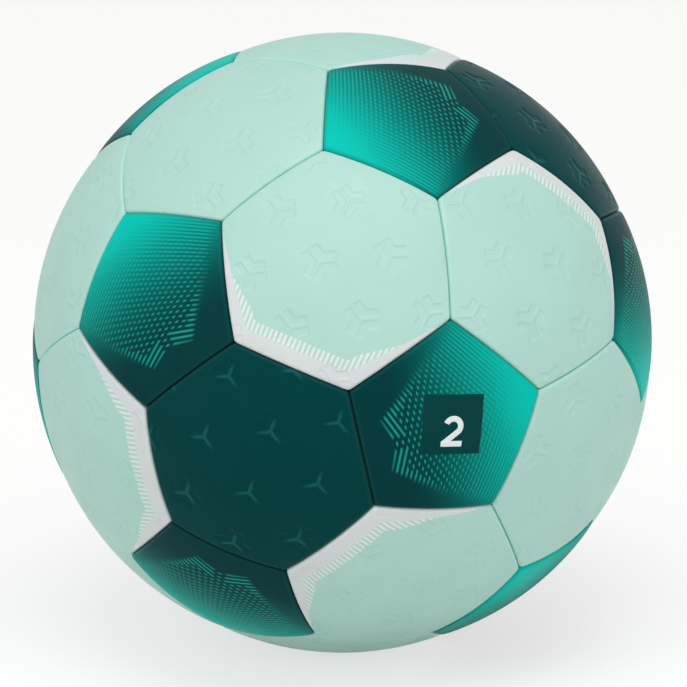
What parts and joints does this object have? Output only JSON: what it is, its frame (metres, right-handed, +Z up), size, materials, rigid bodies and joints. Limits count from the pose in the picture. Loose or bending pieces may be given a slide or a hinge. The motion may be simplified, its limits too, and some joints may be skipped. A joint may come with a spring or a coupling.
{
  "type": "handball",
  "caption": "Hand-stitched ball of hexagon and pentagon panels over an inflated bladder, with a needle valve in a pentagon.",
  "frame": {"origin": "middle of the ball", "axes": "+Y out through the valve, +Z up as in the picture"},
  "size_m": [0.1746, 0.175, 0.1748],
  "materials": {
    "dark_cover": "grained synthetic leather, dark teal, satin",
    "mint_cover": "grained synthetic leather, pale mint, satin",
    "banded_cover": "grained synthetic leather, pale mint with a white band, satin",
    "teal_cover": "grained synthetic leather, dark to bright teal print, satin",
    "foam": "closed-cell foam",
    "lining": "woven polyester and cotton, bonded in layers",
    "thread": "waxed polyester thread",
    "bladder_rubber": "thin rubber",
    "valve_rubber": "moulded rubber",
    "core_rubber": "soft moulded rubber"
  },
  "bodies": {
    "root": {"dark_hexagon_1": "dark_cover", "dark_hexagon_2": "dark_cover", "dark_hexagon_3": "dark_cover", "dark_hexagon_4": "dark_cover", "plain_hexagon_1": "mint_cover", "plain_hexagon_2": "mint_cover", "plain_hexagon_3": "mint_cover", "plain_hexagon_4": "mint_cover", "banded_hexagon_1": "banded_cover", "banded_hexagon_2": "banded_cover", "banded_hexagon_3": "banded_cover", "banded_hexagon_4": "banded_cover", "banded_hexagon_5": "banded_cover", "banded_hexagon_6": "banded_cover", "banded_hexagon_7": "banded_cover", "banded_hexagon_8": "banded_cover", "banded_hexagon_9": "banded_cover", "banded_hexagon_10": "banded_cover", "banded_hexagon_11": "banded_cover", "banded_hexagon_12": "banded_cover", "valve_pentagon": "teal_cover", "pentagon_2": "teal_cover", "pentagon_3": "teal_cover", "pentagon_4": "teal_cover", "pentagon_5": "teal_cover", "pentagon_6": "teal_cover", "pentagon_7": "teal_cover", "pentagon_8": "teal_cover", "pentagon_9": "teal_cover", "pentagon_10": "teal_cover", "pentagon_11": "teal_cover", "pentagon_12": "teal_cover", "hexagon_foam": "foam", "pentagon_foam": "foam", "hexagon_lining": "lining", "pentagon_lining": "lining", "seam_thread": "thread", "bladder": "bladder_rubber", "valve_housing": "valve_rubber", "valve_core": "core_rubber"}
  },
  "joints": []
}
